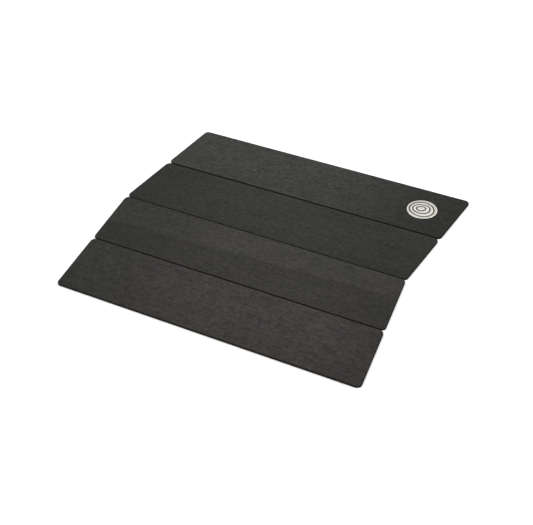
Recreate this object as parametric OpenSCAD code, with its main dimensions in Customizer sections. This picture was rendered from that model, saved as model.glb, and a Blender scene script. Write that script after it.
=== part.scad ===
// Four-strip stick-on deck traction pad (stomp pad) with a round metal badge.
// X runs along the strips, Y across them and Z up. The origin is the centre of the pad's footprint
// on the board. Strip 1 carries the badge and lies at the +Y side, then come strips 2, 3 and 4.

/* [Strips] */
// Length of every strip along X
pad_len = 330; // [280:5:360]
// Width of each of strips 1 and 2, on the side that carries the badge
badge_side_w = 76; // [68:0.5:84]
// Width of each of strips 3 and 4, on the plain side
plain_side_w = 78; // [68:0.5:84]
// Gap between strips 1 and 2 as laid
gap_12 = 1.6; // [0.6:0.1:3]
// Gap between strips 2 and 3 as laid
gap_23 = 0.8; // [0.6:0.1:3]
// Gap between strips 3 and 4 as laid
gap_34 = 1.2; // [0.6:0.1:3]
// Slant of the strip ends, which makes the whole outline a shallow V
end_angle = 6; // [0:0.1:12]
// Plan radius of the strip corners
corner_r = 5; // [2:0.5:10]

/* [Layers] */
// Thickness of the sanded top foam layer
grip_t = 1; // [0.8:0.1:2]
// Thickness of the firmer foam layer below it
cushion_t = 1.1; // [0.8:0.1:3]
// Thickness of the pressure-sensitive adhesive film
adhesive_t = 0.15; // [0.1:0.05:0.3]
// Thickness of the peel-off release liner
liner_t = 0.1; // [0.1:0.05:0.2]

/* [Badge] */
// Outside diameter of the badge
badge_d = 33; // [28:0.2:38]
// Thickness of the badge at its rim
badge_t = 1.2; // [1:0.1:2]
// Thickness of the double-sided tape disc under the badge
tape_t = 0.1; // [0.1:0.05:0.2]
// Gap between the badge and the wall of its pocket
pocket_gap = 0.7; // [0.2:0.1:1]
// Distance along X from the slanted strip end to the badge centre
badge_end_inset = 38.8; // [30:0.2:60]
// Distance from the outer edge of the pad to the badge centre
badge_side_inset = 36.6; // [30:0.2:40]
// Width of the raised rim
rim_w = 1.3; // [1:0.1:2.5]
// Height of the rim above the field inside it
rim_h = 0.25; // [0.1:0.05:0.4]

/* [Badge pattern] */
// Number of contour grooves in the field, like the contour lines of a hill on a map
contour_count = 3; // [1:1:4]
// Width of each contour groove
contour_w = 1.2; // [0.6:0.1:1.2]
// Depth of each contour groove below the field
contour_depth = 0.35; // [0.2:0.05:0.5]
// Size of the grooves' waves, as a share of each groove's radius
wave_size = 0.16; // [0:0.01:0.16]
// How far each groove's waves are turned from those of the groove inside it
wave_turn = 40; // [0:5:45]
// How far the pattern's peak lies from the middle of the badge
peak_shift = 2.5; // [0:0.1:2.5]

/* [Hidden] */
$fn = 64;

// Heights of the layer boundaries above the resting plane
adhesive_z = liner_t;
cushion_z = adhesive_z + adhesive_t;
grip_z = cushion_z + cushion_t;
badge_z = grip_z + tape_t;
field_z = badge_z + badge_t - rim_h;

// Each strip's lower and upper Y, measured from the middle seam
strip_2 = [gap_23 / 2, gap_23 / 2 + badge_side_w];
strip_1 = [strip_2[1] + gap_12, strip_2[1] + gap_12 + badge_side_w];
strip_3 = [-gap_23 / 2 - plain_side_w, -gap_23 / 2];
strip_4 = [strip_3[0] - gap_34 - plain_side_w, strip_3[0] - gap_34];

// The footprint's centre, measured from mid-length of the middle seam
left_x = arc_centre(strip_corners(strip_2), 0)[0] - corner_r;
far_arc_x = max(arc_centre(strip_corners(strip_1), 2)[0], arc_centre(strip_corners(strip_4), 1)[0]);
right_x = far_arc_x + corner_r;
mid_x = (left_x + right_x) / 2;
mid_y = (strip_1[1] + strip_4[0]) / 2;

badge_r = badge_d / 2;
badge_y = strip_1[1] - badge_side_inset;
badge_x = pad_len / 2 + end_shift(badge_y) - badge_end_inset;
field_r = badge_r - rim_w;

// How far a cut runs past the face that it opens
cut = 0.01;
// Points in each contour groove of the badge
contour_points = 48;
// Room between the last groove and the rim, as a share of the grooves' spacing
rim_room = 0.5;
// Height of the three-lobed wave as a share of the two-lobed one
three_lobe_share = 0.3;
// The waves shrink from the middle of the field outwards, and would vanish at this share of it
wave_end = 1.1;
// Direction of the pattern's peak from the middle of the badge
peak_angle = 145;

// How far along X the slanted ends are shifted at a distance y from the middle seam
function end_shift(y) = abs(y) * tan(end_angle);

// The four corners of a strip before rounding, anticlockwise
function strip_corners(s) = [
    [-pad_len / 2 + end_shift(s[0]), s[0]],
    [pad_len / 2 + end_shift(s[0]), s[0]],
    [pad_len / 2 + end_shift(s[1]), s[1]],
    [-pad_len / 2 + end_shift(s[1]), s[1]]
];

function unit(v) = v / norm(v);
function to_last(p, i) = unit(p[(i + len(p) - 1) % len(p)] - p[i]);
function to_next(p, i) = unit(p[(i + 1) % len(p)] - p[i]);
function half_angle(p, i) = acos(to_last(p, i) * to_next(p, i)) / 2;

// Centre of the arc that rounds corner i of outline p
function arc_centre(p, i) =
    p[i] + unit(to_last(p, i) + to_next(p, i)) * corner_r / sin(half_angle(p, i));

// Where that arc touches the outline's two edges at corner i
function arc_ends(p, i) =
    let (d = corner_r / tan(half_angle(p, i)))
    [p[i] + to_last(p, i) * d, p[i] + to_next(p, i) * d];

// Plan outline of one strip with its corners rounded by true arcs
module strip_outline(s) {
    p = strip_corners(s);
    polygon([for (i = [0:3]) for (e = arc_ends(p, i)) e]);
    for (i = [0:3]) {
        translate(arc_centre(p, i)) circle(r = corner_r);
    }
}

module layer(s, z, t) {
    translate([-mid_x, -mid_y, z]) linear_extrude(t) strip_outline(s);
}

module at_badge(z) {
    translate([badge_x - mid_x, badge_y - mid_y, z]) children();
}

// Top foam layer; strip 1's has a round hole that the badge sits in
module grip_layer(s, pocket = false) {
    color("#403e3c") difference() {
        layer(s, grip_z, grip_t);
        if (pocket) {
            at_badge(grip_z - cut) cylinder(r = badge_r + pocket_gap, h = grip_t + 2 * cut);
        }
    }
}

module cushion_layer(s) {
    color("#2b2a29") layer(s, cushion_z, cushion_t);
}

module adhesive(s) {
    color("#33312d") layer(s, adhesive_z, adhesive_t);
}

module liner(s) {
    color("#ddd4b6") layer(s, 0, liner_t);
}

// Size of contour groove k as a share of the field
function contour_share(k) = k / (contour_count + rim_room);

// Radius of contour groove k at angle a: a circle with two-lobed and three-lobed waves
function contour_r(k, a) =
    let (share = contour_share(k))
    let (wave = sin(2 * a + wave_turn * k) + three_lobe_share * sin(3 * a - wave_turn * k))
    field_r * share * (1 + wave_size * (wave_end - share) * wave);

// Middle of contour groove k: the smaller the groove, the nearer it lies to the peak
function contour_centre(k) =
    peak_shift * (1 - contour_share(k)) * [cos(peak_angle), sin(peak_angle)];

module contour_edge(k, offset_r) {
    translate(contour_centre(k)) polygon([
        for (i = [0:contour_points - 1])
            let (a = 360 * i / contour_points, r = contour_r(k, a) + offset_r)
            [r * cos(a), r * sin(a)]
    ]);
}

// The closed wavy bands of the badge pattern, as flat rings
module contours() {
    for (k = [1:contour_count]) {
        difference() {
            contour_edge(k, contour_w / 2);
            contour_edge(k, -contour_w / 2);
        }
    }
}

// Metal disc with a raised rim and a field cut with contour grooves
module badge_disc() {
    color("#d8d6cc") difference() {
        at_badge(badge_z) cylinder(r = badge_r, h = badge_t);
        at_badge(field_z) cylinder(r = field_r, h = rim_h + cut);
        at_badge(field_z - contour_depth) linear_extrude(contour_depth + cut) contours();
    }
}

module badge_tape() {
    color("#33312d") at_badge(grip_z) cylinder(r = badge_r - pocket_gap, h = tape_t);
}

grip_layer(strip_1, pocket = true);  // strip_1_grip_layer
cushion_layer(strip_1);  // strip_1_cushion_layer
adhesive(strip_1);  // strip_1_adhesive
liner(strip_1);  // strip_1_liner
grip_layer(strip_2);  // strip_2_grip_layer
cushion_layer(strip_2);  // strip_2_cushion_layer
adhesive(strip_2);  // strip_2_adhesive
liner(strip_2);  // strip_2_liner
grip_layer(strip_3);  // strip_3_grip_layer
cushion_layer(strip_3);  // strip_3_cushion_layer
adhesive(strip_3);  // strip_3_adhesive
liner(strip_3);  // strip_3_liner
grip_layer(strip_4);  // strip_4_grip_layer
cushion_layer(strip_4);  // strip_4_cushion_layer
adhesive(strip_4);  // strip_4_adhesive
liner(strip_4);  // strip_4_liner
badge_disc();
badge_tape();
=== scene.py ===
import math

import bpy
import numpy as np
from mathutils import Matrix, Vector, noise


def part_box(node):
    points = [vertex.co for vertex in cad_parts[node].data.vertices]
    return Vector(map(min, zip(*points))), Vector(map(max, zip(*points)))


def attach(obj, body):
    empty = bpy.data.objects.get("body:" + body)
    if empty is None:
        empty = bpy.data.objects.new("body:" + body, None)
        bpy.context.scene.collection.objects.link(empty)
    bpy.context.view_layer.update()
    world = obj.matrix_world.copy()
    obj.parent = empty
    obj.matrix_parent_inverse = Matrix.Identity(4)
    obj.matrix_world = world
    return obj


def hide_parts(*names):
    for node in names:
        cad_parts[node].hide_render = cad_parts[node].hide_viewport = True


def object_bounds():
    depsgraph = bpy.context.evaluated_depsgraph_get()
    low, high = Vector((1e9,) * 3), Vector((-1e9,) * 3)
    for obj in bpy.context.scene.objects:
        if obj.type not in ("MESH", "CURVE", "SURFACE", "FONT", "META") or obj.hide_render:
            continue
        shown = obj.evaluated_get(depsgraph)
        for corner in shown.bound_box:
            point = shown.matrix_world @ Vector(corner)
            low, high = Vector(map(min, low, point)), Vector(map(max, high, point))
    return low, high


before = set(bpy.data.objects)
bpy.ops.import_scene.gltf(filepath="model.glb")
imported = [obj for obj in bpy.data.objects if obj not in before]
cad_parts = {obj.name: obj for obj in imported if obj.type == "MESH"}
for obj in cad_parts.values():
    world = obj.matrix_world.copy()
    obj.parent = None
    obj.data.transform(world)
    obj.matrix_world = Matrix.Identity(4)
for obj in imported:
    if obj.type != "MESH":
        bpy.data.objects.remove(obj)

cad_low, cad_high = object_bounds()
MM = 0.001

# ---------------------------------------------------------------- dimensions

# Plan of a strip: slant of its ends and radius of its corners
END_ANGLE = math.radians(6)
CORNER_R = 5 * MM
ARC_STEPS = 10

# Edge shapes of the layers. Only a wall taller than MIN_WALL is bowed.
GRIP_ROUND = 0.42 * MM
FOAM_ROUND = 0.1 * MM
FILM_ROUND = 0.02 * MM
WALL_BOW = 0.04 * MM
MIN_WALL = 4 * WALL_BOW
ROUND_STEPS = 5
WALL_STEPS = 4
# How far in from its edge the top of a layer is darkened: painted shade along the rounded edge, partly the
# darker crushed foam of the die cut
EDGE_SHADE_FADE = 0.7 * MM

# Mesh spacing on the grip surface, and on layers that are flat
GRIP_STEP = 0.8 * MM
FLAT_STEP = 6 * MM

# Relief of the sanded grip, as (height, size, stretch along X): slow waves, sanding marks and two pebbles
GRIP_WAVES = (
    (0.09 * MM, 38 * MM, 1.6),
    (0.022 * MM, 4.2 * MM, 9),
    (0.035 * MM, 2.6 * MM, 1),
    (0.03 * MM, 1.7 * MM, 1),
)
GRIP_SEED = 7.3

# Layers of a strip, as (material slot, round of the top edge, round of the low edge, mesh spacing)
LAYERS = {
    "grip_layer": ("grip_foam", GRIP_ROUND, FOAM_ROUND, GRIP_STEP),
    "cushion_layer": ("cushion_foam", FOAM_ROUND, FOAM_ROUND, FLAT_STEP),
    "adhesive": ("adhesive_film", FILM_ROUND, FILM_ROUND, FLAT_STEP),
    "liner": ("release_liner", FILM_ROUND, FILM_ROUND, FLAT_STEP),
}

# The badge's pocket, and the patch of rings that joins it to the grid around it
BADGE_STRIP = 1
POCKET_GAP = 0.7 * MM
POCKET_PATCH = 4 * MM
POCKET_RINGS = 8

# The badge's rim, edges and mesh spacing
RIM_W = 1.3 * MM
RIM_H = 0.25 * MM
RIM_CROWN = 0.05 * MM
BADGE_ROUND = 0.22 * MM
BADGE_SLOPE = 0.13 * MM
BADGE_RING = 0.12 * MM
BADGE_SPOKES = 300
TAPE_SPOKES = 96

# The badge's contour grooves, laid out as in the CAD
CONTOUR_COUNT = 3
CONTOUR_W = 1.2 * MM
CONTOUR_DEPTH = 0.35 * MM
WAVE_SIZE = 0.16
WAVE_TURN = math.radians(40)
WAVE_END = 1.1
THREE_LOBE_SHARE = 0.3
RIM_ROOM = 0.5
PEAK_SHIFT = 2.5 * MM
PEAK_ANGLE = math.radians(145)

# The badge's cast skin, and its patina beside the grooves, inside the rim and down the side
CAST_H = 0.012 * MM
CAST_SIZE = 0.9 * MM
CAST_SEED = 4.1
STAIN_SPREAD = 0.35 * MM
RIM_STAIN = 0.7
RIM_STAIN_W = 0.35 * MM
SIDE_STAIN = 0.15

# Camera
CAMERA_TARGET = Vector((17.4, -32.5, 0)) * MM
CAMERA_AZIMUTH = math.radians(27.15)
CAMERA_ELEVATION = math.radians(39.5)
CAMERA_ROLL = math.radians(-0.85)
CAMERA_DISTANCE = 1093 * MM
CAMERA_LENS_MM = 71.94
CAMERA_SENSOR_MM = 36
CAMERA_REACH = 100

# Studio: the floor, the world, and lights as (where from, apparent size in degrees, strength)
FLOOR_SIZE = 60
FLOOR_DROP = 0.05 * MM
WORLD_STRENGTH = 0.8
LIGHTS = {
    "key": ((1.3, 1.0, 1.3), 45, 1.6),
    "fill": ((-1.4, -0.6, 1.5), 60, 1.15),
}


# ---------------------------------------------------------------- mesh helpers

def smooth_step(x):
    x = np.clip(x, 0, 1)
    return x * x * (3 - 2 * x)


def direction(angle):
    return np.stack([np.cos(angle), np.sin(angle)], axis=-1)


def perlin(points, size, seed, stretch=1):
    """Smooth noise, about -0.5 to 0.5, with features of the given size, stretched along X."""
    return np.array([noise.noise((x / size / stretch, y / size, seed)) for x, y in points])


def ring_quads(outer, inner):
    """Quads between two closed loops of the same length."""
    return np.stack([outer, np.roll(outer, -1), np.roll(inner, -1), inner], axis=-1)


def new_piece(name, vertices, faces, material, attributes=None):
    """A smooth-shaded mesh object with one material and optional per-point values."""
    mesh = bpy.data.meshes.new(name)
    mesh.from_pydata([tuple(v) for v in vertices], [], [tuple(f) for f in faces])
    mesh.polygons.foreach_set("use_smooth", [True] * len(mesh.polygons))
    for key, values in (attributes or {}).items():
        layer = mesh.attributes.new(key, "FLOAT", "POINT")
        layer.data.foreach_set("value", np.asarray(values, np.float32))
    mesh.update()
    mesh.materials.append(material)
    obj = bpy.data.objects.new(name, mesh)
    bpy.context.scene.collection.objects.link(obj)
    return obj


def stand_for(piece, node, body):
    """Shows a piece instead of its CAD node, moving with a body."""
    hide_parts(node)
    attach(piece, body)


# ---------------------------------------------------------------- plan of a strip

def lean_of(number):
    """Which way a strip's ends lean: strips 1 and 2 towards +X with growing y, strips 3 and 4 back."""
    return 1 if number <= 2 else -1


def strip_corners(number, node):
    """The four sharp corners of a strip's plan, anticlockwise, worked out from the node's box."""
    low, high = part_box(node)
    reach = CORNER_R * (1 / math.tan((math.pi / 2 - END_ANGLE) / 2) - 1)
    shift = (high.y - low.y) * math.tan(END_ANGLE)
    left, right = low.x - reach, high.x + reach
    if lean_of(number) > 0:
        return np.array([(left, low.y), (right - shift, low.y), (right, high.y), (left + shift, high.y)])
    return np.array([(left + shift, low.y), (right, low.y), (right - shift, high.y), (left, high.y)])


def distance_inside(points, corners):
    """Distance from each point to the nearest side of the strip's plan."""
    nearest = np.full(len(points), np.inf)
    for a, b in zip(corners, np.roll(corners, -1, axis=0)):
        along = (b - a) / np.linalg.norm(b - a)
        inward = np.array([-along[1], along[0]])
        nearest = np.minimum(nearest, (points - a) @ inward)
    return np.maximum(nearest, 0)


def end_column(low_corner, high_corner, low_angle, side_angle, high_angle, step):
    """Points and outward normals along one slanted end, from low y to high y, with both corner arcs."""
    arcs = []
    for corner, first, last in ((low_corner, low_angle, side_angle), (high_corner, side_angle, high_angle)):
        a, b = direction(np.array([first, last]))
        half = math.acos(np.clip(-(a @ b), -1, 1)) / 2
        centre = corner - (a + b) / np.linalg.norm(a + b) * CORNER_R / math.sin(half)
        normals = direction(np.linspace(first, last, ARC_STEPS + 1))
        arcs.append((centre + CORNER_R * normals, normals))
    (low_points, low_normals), (high_points, high_normals) = arcs
    length = np.linalg.norm(high_points[0] - low_points[-1])
    count = max(2, round(length / step))
    t = np.linspace(0, 1, count + 1)[1:-1, None]
    side = low_points[-1] * (1 - t) + high_points[0] * t
    side_normals = np.repeat(low_normals[-1:], len(side), axis=0)
    points = np.concatenate([low_points, side, high_points])
    return points, np.concatenate([low_normals, side_normals, high_normals])


def loop_of(grid, low, high, first, last):
    """Values of a grid round a block of its rows and columns, anticlockwise."""
    return np.concatenate([
        grid[low, first:last],
        grid[low:high, last],
        grid[high, last:first:-1],
        grid[high:low:-1, first],
    ])


class Sheet:
    """A flat grid that fills a strip's rounded plan, inset from it, with an optional round hole.

    Its loops, round the rim and round the hole, are (indices, places on the full plan, normals out of
    the sheet), and run with the sheet on their left."""

    def __init__(self, number, corners, step, inset, hole=None):
        slant = lean_of(number) * END_ANGLE
        left, left_n = end_column(corners[0], corners[3], 1.5 * math.pi, math.pi - slant, math.pi / 2, step)
        right, right_n = end_column(corners[1], corners[2], -math.pi / 2, -slant, math.pi / 2, step)
        rows = len(left) - 1
        columns = max(2, round((right[0] - left[0])[0] / step))
        u = np.linspace(0, 1, columns + 1)[None, :, None]
        full = left[:, None] * (1 - u) + right[:, None] * u
        inner_left = left - left_n * inset
        inner_right = right - right_n * inset
        self.points = (inner_left[:, None] * (1 - u) + inner_right[:, None] * u).reshape(-1, 2)
        normals = np.zeros_like(full)
        normals[0, :] = (0, -1)
        normals[-1, :] = (0, 1)
        normals[:, 0] = left_n
        normals[:, -1] = right_n
        index = np.arange((rows + 1) * (columns + 1)).reshape(rows + 1, columns + 1)
        self.loops = [tuple(loop_of(grid, 0, rows, 0, columns) for grid in (index, full, normals))]
        squares = np.stack([index[:-1, :-1], index[:-1, 1:], index[1:, 1:], index[1:, :-1]], axis=-1)
        keep = np.ones((rows, columns), bool)
        rings = self.cut_hole(index, keep, full, *hole, inset) if hole else []
        self.quads = np.concatenate([squares[keep], *rings])
        self.compact()

    def cut_hole(self, index, keep, full, centre, radius, inset):
        """Opens a square block of the grid round the hole and joins it to the circle with rings.

        The block is chosen on the full plan, so that a layer's two faces have the same rings."""
        half = radius + POCKET_PATCH
        row = np.abs(full[:, 0, 1] - centre[1]).argmin()
        first = np.searchsorted(full[row, :, 0], centre[0] - half)
        last = np.searchsorted(full[row, :, 0], centre[0] + half)
        column = (first + last) // 2
        low = np.searchsorted(full[:, column, 1], centre[1] - half)
        high = np.searchsorted(full[:, column, 1], centre[1] + half)
        keep[low:high, first:last] = False
        loop = loop_of(index, low, high, first, last)
        outer = self.points[loop]
        unit = (outer - centre) / np.linalg.norm(outer - centre, axis=1, keepdims=True)
        circle = centre + unit * (radius + inset)
        rings = []
        for t in np.arange(1, POCKET_RINGS + 1) / POCKET_RINGS:
            inner_loop = np.arange(len(loop)) + len(self.points)
            self.points = np.concatenate([self.points, outer * (1 - t) + circle * t])
            rings.append(ring_quads(loop, inner_loop))
            loop = inner_loop
        self.loops.append((loop[::-1], (centre + unit * radius)[::-1], -unit[::-1]))
        return rings

    def compact(self):
        """Drops the points that no face uses."""
        used = np.unique(self.quads)
        renumber = np.full(len(self.points), -1)
        renumber[used] = np.arange(len(used))
        self.points = self.points[used]
        self.quads = renumber[self.quads]
        self.loops = [(renumber[loop], places, normals) for loop, places, normals in self.loops]


# ---------------------------------------------------------------- layers of a strip

def wall_profile(z_low, z_high, top_round, low_round):
    """(how far out, height, share of the top's relief) down a wall, between the two sheets."""
    upper, lower = z_high - top_round, z_low + low_round
    bow = WALL_BOW if upper - lower > MIN_WALL else 0
    profile = []
    for a in np.linspace(0, math.pi / 2, ROUND_STEPS + 1)[1:]:
        profile.append((top_round * (math.sin(a) - 1), z_high - top_round * (1 - math.cos(a)), math.cos(a)))
    for t in np.linspace(0, 1, WALL_STEPS + 1)[1:]:
        profile.append((-bow * math.sin(math.pi * t), upper + (lower - upper) * t, 0))
    for a in np.linspace(0, math.pi / 2, ROUND_STEPS + 1)[1:-1]:
        profile.append((low_round * (math.cos(a) - 1), lower - low_round * math.sin(a), 0))
    return profile


def slab(number, node, material, top_round, low_round, step, relief=None, hole=None):
    """One layer of a strip: a closed sheet with rounded edges and a slightly bowed wall."""
    low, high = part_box(node)
    corners = strip_corners(number, node)
    top = Sheet(number, corners, step, top_round, hole)
    bottom = Sheet(number, corners, step, low_round, hole)
    height = relief(top.points) if relief else np.zeros(len(top.points))
    blocks = [np.column_stack([top.points, high.z + height])]
    faces = [top.quads]
    last_rings = []
    start = len(top.points)
    for loop, places, normals in top.loops:
        loop_height = height[loop]
        for out, z, share in wall_profile(low.z, high.z, top_round, low_round):
            blocks.append(np.column_stack([places + normals * out, z + loop_height * share]))
            ring = np.arange(start, start + len(loop))
            faces.append(ring_quads(ring, loop))
            loop = ring
            start += len(ring)
        last_rings.append(loop)
    blocks.append(np.column_stack([bottom.points, np.full(len(bottom.points), low.z)]))
    faces.append(bottom.quads[:, ::-1] + start)
    for (loop, _, _), ring in zip(bottom.loops, last_rings):
        faces.append(ring_quads(loop + start, ring))
    points = np.concatenate(blocks)
    # Share of the painted edge shade: full on the walls and at the top's edge, fading inward over the top
    edge = np.ones(len(points))
    edge[:len(top.points)] = np.exp(-distance_inside(top.points, corners) / EDGE_SHADE_FADE)
    wall = np.ones(len(points))
    wall[:len(top.points)] = 0
    return new_piece(f"{node}_piece", points, np.concatenate(faces), material, {"edge": edge, "wall": wall})


def grip_relief(number):
    """Height of a strip's sanded grip surface, as a function of points."""
    def height(points):
        return sum(amount * perlin(points, size, GRIP_SEED * number + k, stretch)
                   for k, (amount, size, stretch) in enumerate(GRIP_WAVES))
    return height


# ---------------------------------------------------------------- badge and its tape

def circle_rings(centre, profile, spokes):
    """Rings of points round a centre, one for each (radius, height) of a profile."""
    unit = direction(np.arange(spokes) * 2 * math.pi / spokes)
    middle = np.array(centre)[:2]
    return np.array([np.column_stack([middle + r * unit, np.full(spokes, z)]) for r, z in profile])


def with_middles(values):
    """The values of all rings, in a row, between the means of the first ring and of the last."""
    row = values.reshape(-1, *values.shape[2:])
    return np.concatenate([values[:1].mean(axis=1), row, values[-1:].mean(axis=1)])


def round_piece(name, rings, material, attributes=None):
    """A closed round piece from rings that run out over its top, down its side and in below it."""
    ring_count, spokes = rings.shape[:2]
    index = np.arange(ring_count * spokes).reshape(ring_count, spokes) + 1
    around = np.roll(index, -1, axis=1)
    end = ring_count * spokes + 1
    faces = [(0, a, b) for a, b in zip(index[0], around[0])]
    for outer, inner in zip(index[1:], index[:-1]):
        faces.extend(ring_quads(outer, inner).tolist())
    faces.extend((end, b, a) for a, b in zip(index[-1], around[-1]))
    values = {key: with_middles(value) for key, value in (attributes or {}).items()}
    return new_piece(name, with_middles(rings), faces, material, values)


def distance_to_contour(line, x, y, field_r):
    """Distance of places in the badge's field from the middle of one wavy contour groove."""
    share = line / (CONTOUR_COUNT + RIM_ROOM)
    x = x - PEAK_SHIFT * (1 - share) * math.cos(PEAK_ANGLE)
    y = y - PEAK_SHIFT * (1 - share) * math.sin(PEAK_ANGLE)
    angle = np.arctan2(y, x)
    wave = np.sin(2 * angle + WAVE_TURN * line) + THREE_LOBE_SHARE * np.sin(3 * angle - WAVE_TURN * line)
    return np.abs(np.hypot(x, y) - field_r * share * (1 + WAVE_SIZE * (WAVE_END - share) * wave))


def badge_face(x, y, radius):
    """Depth below the top of the rim, share of rim, and patina, at places measured from the middle."""
    field_r = radius - RIM_W
    r = np.hypot(x, y)
    rim = smooth_step((r - field_r + BADGE_SLOPE) / (2 * BADGE_SLOPE))
    crown = RIM_CROWN * ((r - (radius - RIM_W / 2)) / (RIM_W / 2)) ** 2 * rim
    groove, stain = np.zeros_like(r), np.zeros_like(r)
    for line in range(1, CONTOUR_COUNT + 1):
        away = distance_to_contour(line, x, y, field_r) - CONTOUR_W / 2
        groove = np.maximum(groove, 1 - smooth_step((away + BADGE_SLOPE) / (2 * BADGE_SLOPE)))
        stain = np.maximum(stain, 1 - smooth_step(away / STAIN_SPREAD))
    rim_stain = RIM_STAIN * (1 - smooth_step(np.abs(r - field_r + BADGE_SLOPE) / RIM_STAIN_W))
    depth = RIM_H * (1 - rim) + crown + CONTOUR_DEPTH * groove
    return depth, rim, np.maximum(stain, rim_stain)


def badge_mesh(name, material):
    """The metal badge as one closed relief: raised crowned rim, cast field and contour grooves."""
    low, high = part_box("badge_disc")
    centre, radius = (low + high) / 2, (high.x - low.x) / 2
    face_r = radius - BADGE_ROUND
    ring_r = np.append(np.arange(1, round(face_r / BADGE_RING)) * BADGE_RING, face_r)
    face = circle_rings(centre, [(r, high.z) for r in ring_r], BADGE_SPOKES)
    depth, rim, patina = badge_face(face[..., 0] - centre.x, face[..., 1] - centre.y, radius)
    cast = perlin(face[..., :2].reshape(-1, 2), CAST_SIZE, CAST_SEED).reshape(rim.shape)
    face[..., 2] += CAST_H * cast * (1 - rim) - depth
    edge_z = face[-1, :, 2].mean()
    profile = []
    for a in np.linspace(0, math.pi / 2, ROUND_STEPS + 1)[1:]:
        profile.append((radius - BADGE_ROUND * (1 - math.sin(a)), edge_z - BADGE_ROUND * (1 - math.cos(a))))
    profile += [(radius, low.z + BADGE_ROUND / 2), (radius - BADGE_ROUND / 2, low.z)]
    side = circle_rings(centre, profile, BADGE_SPOKES)
    all_patina = np.concatenate([patina, np.full(side.shape[:2], SIDE_STAIN)])
    return round_piece(name, np.concatenate([face, side]), material, {"patina": all_patina})


def tape_mesh(name, material):
    """The thin tape disc under the badge, with a softened edge."""
    low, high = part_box("badge_tape")
    centre, radius = (low + high) / 2, (high.x - low.x) / 2
    half, flat = radius / 2, radius - FILM_ROUND
    profile = [(half, high.z), (flat, high.z), (radius, high.z - FILM_ROUND),
               (radius, low.z + FILM_ROUND), (flat, low.z), (half, low.z)]
    return round_piece(name, circle_rings(centre, profile, TAPE_SPOKES), material)


# ---------------------------------------------------------------- material helpers

class Nodes:
    """A short way to write a procedural material around one Principled shader."""

    def __init__(self, name):
        self.material = bpy.data.materials.new(name)
        self.material.use_nodes = True
        self.tree = self.material.node_tree
        self.shader = self.tree.nodes["Principled BSDF"]
        coords = self.tree.nodes.new("ShaderNodeTexCoord")
        self.mm = self.node("ShaderNodeVectorMath", {0: coords.outputs["Object"], "Scale": 1 / MM},
                            operation="SCALE").outputs[0]
        split = self.node("ShaderNodeSeparateXYZ", {0: self.mm})
        self.axes = {"x": split.outputs["X"], "y": split.outputs["Y"]}

    def node(self, kind, inputs=None, **settings):
        """A new node with its settings, and with its inputs fed by name or by number."""
        new = self.tree.nodes.new(kind)
        for key, value in settings.items():
            setattr(new, key, value)
        for key, value in (inputs or {}).items():
            self.feed(new.inputs[key], value)
        return new

    def feed(self, socket, value):
        """Links another node's output to a socket, or sets the socket's own value."""
        if isinstance(value, bpy.types.NodeSocket):
            self.tree.links.new(value, socket)
        else:
            socket.default_value = value

    def math(self, operation, a, b):
        return self.node("ShaderNodeMath", {0: a, 1: b}, operation=operation).outputs[0]

    def mul(self, a, b):
        return self.math("MULTIPLY", a, b)

    def add(self, first, *others):
        total = first
        for other in others:
            total = self.math("ADD", total, other)
        return total

    def noise(self, size_mm, stretch=(1, 1, 1), detail=2, roughness=0.5, offset=0.0):
        """Noise around 0, about -0.5 to 0.5, with features of the given size."""
        scale = tuple(1 / (size_mm * s) for s in stretch)
        place = self.node("ShaderNodeVectorMath", {0: self.mm, 1: scale, 2: (offset, offset, offset)},
                          operation="MULTIPLY_ADD").outputs[0]
        texture = self.node("ShaderNodeTexNoise", {"Vector": place, "Scale": 1.0, "Detail": detail,
                                                   "Roughness": roughness})
        return self.add(texture.outputs[0], -0.5)

    def cells(self, size_mm):
        """Distance from the middle of the nearest of many small cells, as a share of their size."""
        return self.node("ShaderNodeTexVoronoi", {"Vector": self.mm, "Scale": 1 / size_mm}).outputs[0]

    def ramp(self, value, start, end, first, last):
        """Value mapped smoothly from first at start to last at end, and held outside them."""
        return self.node("ShaderNodeMapRange", {"Value": value, "From Min": start, "From Max": end,
                                                "To Min": first, "To Max": last},
                         interpolation_type="SMOOTHSTEP").outputs[0]

    def attribute(self, name):
        return self.node("ShaderNodeAttribute", attribute_name=name).outputs["Fac"]

    def tint(self, colour, value):
        """A colour scaled by a value."""
        return self.node("ShaderNodeVectorMath", {0: colour, "Scale": value}, operation="SCALE").outputs[0]

    def mix(self, share, a, b):
        """The colour a share of the way from a to b. Sockets 6, 7 and 2 are the node's colour ones."""
        new = self.node("ShaderNodeMix", data_type="RGBA")
        self.feed(new.inputs[0], share)
        self.feed(new.inputs[6], a)
        self.feed(new.inputs[7], b)
        return new.outputs[2]

    def bump(self, height, distance_mm, strength=1.0, under=None):
        """A normal from a height, on top of the bumps of another normal if one is given."""
        inputs = {"Height": height, "Distance": distance_mm * MM, "Strength": strength}
        if under is not None:
            inputs["Normal"] = under
        return self.node("ShaderNodeBump", inputs).outputs[0]

    def set(self, **inputs):
        """Feeds inputs of the shader. An underscore stands for the space in an input's name."""
        for key, value in inputs.items():
            self.feed(self.shader.inputs[key.replace("_", " ")], value)


# ---------------------------------------------------------------- materials

GRIP_COLOUR = (0.0348, 0.0340, 0.0312)
WALL_COLOUR = (0.0120, 0.0116, 0.0108)
ADHESIVE_COLOUR = (0.018, 0.017, 0.015)
PAPER_COLOUR = (0.50, 0.43, 0.265)
NICKEL_COLOUR = (0.88, 0.865, 0.785)
PATINA_COLOUR = (0.020, 0.019, 0.015)
FLOOR_COLOUR = (0.93, 0.93, 0.93)

GRIP_SPECULAR = 0.15
WALL_SPECULAR = 0.03

# Sizes of the pores that sanding opens, of the cells of cut foam and of the bubbles in the adhesive
PORE_MM = 0.5
CELL_MM = 0.26
BUBBLE_MM = 3.2

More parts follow.
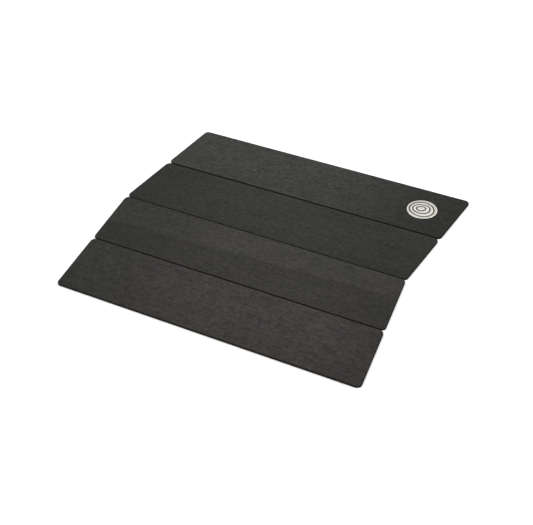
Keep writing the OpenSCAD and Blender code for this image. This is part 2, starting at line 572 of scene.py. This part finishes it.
# Tone of the sanded grip: its base, its darkest, and its share at the very edge, where painted shade along
# the rounded edge darkens it, partly the darker crushed foam of the die cut
GRIP_BASE = 0.93
GRIP_DARKEST = 0.3
GRIP_EDGE_SHADE = 0.55
# How far the noise moves on from one strip to the next
GRIP_OFFSET = 3.7
# How strongly patches of the grip differ in warmth
PATCH_WARMTH = 0.12
# Length and size of the wavering of the edge of the painted shade step
WAVER_LENGTH_MM = 30
WAVER_MM = 1.5

# Look of each strip. tone is its brightness, and warmth a change along X, as (start, end, first, last).
# The ramps are painted sheen and shade, lighter mid-strip and darker towards the ends and the near long
# edge, as (axis, start, end, first, last). The last entry, where given, is a painted shade step along the
# strip, darker before a line and lighter beyond it, as (y at x = 0, slope, half width, tone before it, tone
# beyond it). Places are in millimetres.
STRIP_LOOKS = {
    1: {
        "tone": 0.95,
        "warmth": (-165, 165, 0.0, 0.0),
        "sheen_and_shade_ramps": (("x", -10, 165, 1.02, 0.54), ("y", 80, 105, 0.93, 1.0)),
    },
    2: {
        "tone": 0.725,
        "warmth": (-165, 165, -0.01, -0.01),
        "sheen_and_shade_ramps": (("x", -165, -60, 0.8, 1.0), ("x", 0, 165, 1.0, 0.86), ("y", 3, 30, 0.9, 1.0)),
    },
    3: {
        "tone": 0.84,
        "warmth": (-110, -70, -0.01, 0.025),
        "sheen_and_shade_ramps": (("x", -165, 0, 0.74, 1.02), ("x", 60, 165, 1.0, 0.83)),
        "shade_step": (-35.1, 0.043, 0.8, 0.87, 1.12),
    },
    4: {
        "tone": 0.91,
        "warmth": (-125, -60, -0.01, 0.1),
        "sheen_and_shade_ramps": (("x", -150, 20, 0.72, 1.0), ("x", 110, 168, 1.0, 0.78), ("y", -156, -100, 0.86, 1.0)),
    },
}


def painted_shade_step(m, offset, place, slope, width, before, beyond):
    """Share of tone on either side of a slightly wavering line along the strip: a painted shade step,
    darker before the line and lighter beyond it.
    """
    waver = m.mul(m.noise(WAVER_LENGTH_MM, detail=2, offset=offset + 5), WAVER_MM)
    line = m.add(m.axes["y"], m.mul(m.axes["x"], -slope), waver)
    return m.ramp(line, place - width, place + width, before, beyond)


def grip_material(number, tone, warmth, sheen_and_shade_ramps, shade_step=None):
    """Sanded EVA foam in the look of one strip, with painted sheen and shade across it and along its edge,
    and with the cut foam of its wall.
    """
    m = Nodes(f"sanded_foam_{number}")
    offset = GRIP_OFFSET * number
    fine = m.noise(0.4, detail=3, roughness=0.65, offset=offset)
    grain = m.noise(1.3, detail=3, roughness=0.6, offset=offset + 1)
    mottle = m.noise(3.4, stretch=(1.4, 1, 1), detail=3, offset=offset + 2)
    streak = m.noise(2.6, stretch=(24, 1, 1), detail=3, roughness=0.6, offset=offset + 3)
    patch = m.noise(12, stretch=(1.6, 1, 1), detail=2, offset=offset + 6)
    cloud = m.noise(55, stretch=(1.5, 0.7, 1), detail=2, offset=offset + 4)
    pores = m.cells(PORE_MM)
    value = m.add(GRIP_BASE, m.mul(fine, 1.2), m.ramp(pores, 0.08, 0.4, -0.35, 0.1), m.mul(grain, 1.9),
                  m.mul(mottle, 1.2), m.mul(streak, 0.5), m.mul(patch, 0.35), m.mul(cloud, 0.25))
    value = m.mul(m.math("MAXIMUM", value, GRIP_DARKEST), tone)
    # Painted sheen and shade: lighter mid-strip, darker towards the ends and the near long edge
    for axis, start, end, first, last in sheen_and_shade_ramps:
        value = m.mul(value, m.ramp(m.axes[axis], start, end, first, last))
    # Painted shade step along the strip: darker on the near side of a line, lighter beyond it
    if shade_step:
        value = m.mul(value, painted_shade_step(m, offset, *shade_step))
    # Painted shade along the top's rounded edge, partly the darker crushed foam of the die cut
    value = m.mul(value, m.ramp(m.attribute("edge"), 0.15, 1.0, 1.0, GRIP_EDGE_SHADE))
    change = m.ramp(m.axes["x"], *warmth)
    red = m.add(change, 1.0, m.mul(patch, PATCH_WARMTH))
    blue = m.add(m.mul(change, 0.5), 1.0, m.mul(patch, -PATCH_WARMTH))
    warm = m.node("ShaderNodeCombineXYZ", {0: red, 1: 1.0, 2: blue}).outputs[0]
    base = m.node("ShaderNodeVectorMath", {0: warm, 1: GRIP_COLOUR}, operation="MULTIPLY").outputs[0]
    cut = m.tint(WALL_COLOUR, m.ramp(m.cells(CELL_MM), 0.12, 0.5, 0.55, 1.25))
    wall = m.attribute("wall")
    m.set(Base_Color=m.mix(wall, m.tint(base, value), cut))
    m.set(Roughness=m.add(0.88, m.mul(fine, 0.2)))
    m.set(Specular_IOR_Level=m.ramp(wall, 0.0, 1.0, GRIP_SPECULAR, WALL_SPECULAR))
    nap = m.bump(m.add(m.mul(grain, 0.7), m.mul(streak, 0.5)), 0.25)
    m.set(Normal=m.bump(m.add(fine, m.mul(pores, 0.6)), 0.12, under=nap))
    return m.material


def cushion_material():
    """Die-cut closed-cell foam: dark, with the open cells of the cut face."""
    m = Nodes("cushion_foam")
    cells = m.cells(CELL_MM)
    grain = m.noise(0.8, detail=3)
    value = m.add(m.ramp(cells, 0.1, 0.55, 0.6, 1.25), m.mul(grain, 0.5))
    m.set(Base_Color=m.tint(WALL_COLOUR, value))
    m.set(Roughness=m.add(0.86, m.mul(grain, 0.2)), Specular_IOR_Level=WALL_SPECULAR)
    m.set(Normal=m.bump(m.add(m.mul(cells, -1.0), grain), 0.08, 0.9))
    return m.material


def adhesive_material():
    """Clear adhesive film over dark foam, with a tacky sheen and small trapped bubbles."""
    m = Nodes("adhesive_film")
    flow = m.noise(14, detail=3)
    spot = m.ramp(m.cells(BUBBLE_MM), 0.06, 0.16, 1.0, 0.0)
    m.set(Base_Color=m.tint(ADHESIVE_COLOUR, m.add(1.0, m.mul(flow, 0.3), m.mul(spot, 0.6))))
    m.set(Roughness=m.add(0.24, m.mul(flow, 0.2)), Specular_IOR_Level=0.4)
    m.set(Normal=m.bump(m.add(flow, m.mul(spot, 0.4)), 0.15, 0.6))
    return m.material


def liner_material():
    """Yellowish glassine release paper: fibres, faint calender lines and a satin face."""
    m = Nodes("release_paper")
    fibre = m.noise(0.5, stretch=(6, 1, 1), detail=4, roughness=0.7)
    cross = m.noise(0.5, stretch=(1, 5, 1), detail=4, roughness=0.7, offset=5)
    cloud = m.noise(22, detail=3, offset=9)
    rolled = m.noise(3.5, stretch=(40, 1, 1), detail=2, offset=12)
    fibres = m.add(fibre, cross)
    value = m.add(1.0, m.mul(fibres, 0.22), m.mul(cloud, 0.2), m.mul(rolled, 0.12))
    m.set(Base_Color=m.tint(PAPER_COLOUR, value))
    m.set(Roughness=m.add(0.42, m.mul(cloud, 0.15)), Specular_IOR_Level=0.45)
    m.set(Normal=m.bump(m.add(fibres, m.mul(cloud, 1.5)), 0.03, 0.7))
    return m.material


def badge_material():
    """Satin nickel plating on a casting, with dark patina in the grooves and a few fine scratches."""
    m = Nodes("badge_metal")
    cast = m.noise(0.5, detail=4, roughness=0.65)
    cloud = m.noise(4.5, detail=3, offset=3)
    scratch = m.noise(0.22, stretch=(18, 1, 1), detail=2, offset=7)
    stain = m.ramp(m.add(m.attribute("patina"), m.mul(cast, 0.25)), 0.15, 0.6, 0.0, 1.0)
    bright = m.tint(NICKEL_COLOUR, m.add(1.0, m.mul(cloud, 0.3), m.mul(cast, 0.2)))
    dark = m.tint(PATINA_COLOUR, m.add(1.0, m.mul(cast, 0.8)))
    m.set(Base_Color=m.mix(stain, bright, dark))
    m.set(Metallic=m.ramp(stain, 0.0, 0.8, 1.0, 0.1))
    m.set(Roughness=m.add(0.34, m.mul(cast, 0.16), m.mul(cloud, 0.12), m.mul(stain, 0.3)))
    m.set(Normal=m.bump(m.add(cast, m.mul(scratch, 0.4)), 0.03, 0.6))
    return m.material


def floor_material():
    """Matt, almost white studio paper."""
    m = Nodes("studio_floor")
    soft = m.noise(400, detail=1)
    m.set(Base_Color=m.tint(FLOOR_COLOUR, m.add(1.0, m.mul(soft, 0.01))))
    m.set(Roughness=0.9, Specular_IOR_Level=0.1)
    return m.material


# ---------------------------------------------------------------- the pad

def badge_pocket():
    """Centre and radius of the hole in the grip layer that the badge sits in."""
    low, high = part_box("badge_disc")
    return np.array((low + high) / 2)[:2], (high.x - low.x) / 2 + POCKET_GAP


def build_strip(number, shared_materials):
    """The four layers of one strip. Its liner comes off by itself, so it rides on its own body."""
    materials = {"grip_layer": grip_material(number, **STRIP_LOOKS[number]), **shared_materials}
    pocket = badge_pocket() if number == BADGE_STRIP else None
    for layer, (slot, top_round, low_round, step) in LAYERS.items():
        node = f"strip_{number}_{layer}"
        relief, hole = (grip_relief(number), pocket) if layer == "grip_layer" else (None, None)
        piece = slab(number, node, materials[layer], top_round, low_round, step, relief, hole)
        stand_for(piece, node, f"liner_{number}" if layer == "liner" else f"strip_{number}")


def build_badge(tape_material):
    """The badge disc and the tape under it, which ride on the badge's strip."""
    body = f"strip_{BADGE_STRIP}"
    stand_for(badge_mesh("badge_relief", badge_material()), "badge_disc", body)
    stand_for(tape_mesh("badge_tape_disc", tape_material), "badge_tape", body)


shared = {"cushion_layer": cushion_material(), "adhesive": adhesive_material(), "liner": liner_material()}
for number in STRIP_LOOKS:
    build_strip(number, shared)
build_badge(shared["adhesive"])


# ---------------------------------------------------------------- studio

def soft_light(name, place, size, strength):
    """A soft, even studio light: its rays come from one side, over an angle of the given size."""
    data = bpy.data.lights.new(name, "SUN")
    data.angle = math.radians(size)
    data.energy = strength
    obj = bpy.data.objects.new(name, data)
    bpy.context.scene.collection.objects.link(obj)
    obj.rotation_euler = Vector(place).to_track_quat("Z", "Y").to_euler()


def studio_world():
    """A white backdrop for the camera that lights the scene with a softer strength."""
    world = bpy.data.worlds.new("studio")
    world.use_nodes = True
    tree = world.node_tree
    rays = tree.nodes.new("ShaderNodeLightPath")
    strength = tree.nodes.new("ShaderNodeMapRange")
    strength.inputs["To Min"].default_value = WORLD_STRENGTH
    tree.links.new(rays.outputs["Is Camera Ray"], strength.inputs["Value"])
    background = tree.nodes["Background"]
    background.inputs["Color"].default_value = (1, 1, 1, 1)
    tree.links.new(strength.outputs["Result"], background.inputs["Strength"])
    bpy.context.scene.world = world


def studio_floor():
    """A plain floor just under the part, far wider than the picture."""
    half, z = FLOOR_SIZE / 2, cad_low[2] - FLOOR_DROP
    corners = [(-half, -half, z), (half, -half, z), (half, half, z), (-half, half, z)]
    new_piece("floor", corners, [(0, 1, 2, 3)], floor_material())


def place_camera():
    """A camera that looks at the target from an azimuth and elevation, with a small roll."""
    back = Vector((math.sin(CAMERA_AZIMUTH) * math.cos(CAMERA_ELEVATION),
                   -math.cos(CAMERA_AZIMUTH) * math.cos(CAMERA_ELEVATION), math.sin(CAMERA_ELEVATION)))
    level = Vector((0, 0, 1)).cross(back).normalized()
    upright = back.cross(level)
    c, s = math.cos(CAMERA_ROLL), math.sin(CAMERA_ROLL)
    right, up = c * level + s * upright, -s * level + c * upright
    data = bpy.data.cameras.new("camera")
    data.sensor_width = CAMERA_SENSOR_MM
    data.lens = CAMERA_LENS_MM
    data.clip_end = CAMERA_REACH
    camera = bpy.data.objects.new("camera", data)
    bpy.context.scene.collection.objects.link(camera)
    turn = Matrix((right, up, back)).transposed().to_4x4()
    camera.matrix_world = Matrix.Translation(CAMERA_TARGET + back * CAMERA_DISTANCE) @ turn
    bpy.context.scene.camera = camera


studio_floor()
studio_world()
for name, (place, size, strength) in LIGHTS.items():
    soft_light(name, place, size, strength)
place_camera()
bpy.context.scene.view_settings.view_transform = "Standard"
